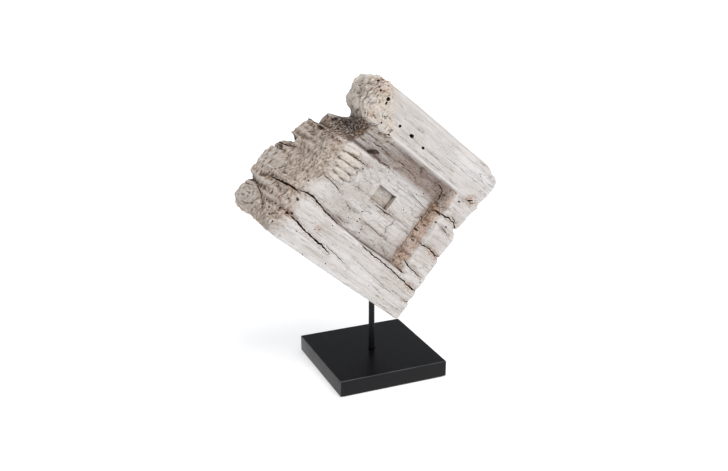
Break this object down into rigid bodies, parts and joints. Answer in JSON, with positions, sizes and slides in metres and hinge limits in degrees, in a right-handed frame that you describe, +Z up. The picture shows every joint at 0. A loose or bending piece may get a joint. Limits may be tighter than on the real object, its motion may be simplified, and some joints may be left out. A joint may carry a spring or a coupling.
{
  "type": "driftwood block on a rod stand",
  "caption": "Weathered, bleached driftwood block with a sunk panel and a rotted end, held tilted on a black rod and square base.",
  "frame": {"origin": "centre of the stand's underside, on the surface it stands on", "axes": "+Z up along the rod, +X to the right seen from the carved side, -Y towards the viewer of the carved side"},
  "size_m": [0.3255, 0.15, 0.3926],
  "materials": {
    "driftwood": "bleached and weathered, dry matt",
    "stand_rod": "satin black powder coat",
    "stand_base": "satin black lacquer",
    "base_screw": "zinc-plated steel",
    "felt_sole": "black felt"
  },
  "bodies": {
    "root": {"driftwood": "driftwood", "stand_rod": "stand_rod", "stand_base": "stand_base", "base_screw": "base_screw", "felt_sole": "felt_sole"}
  },
  "joints": []
}
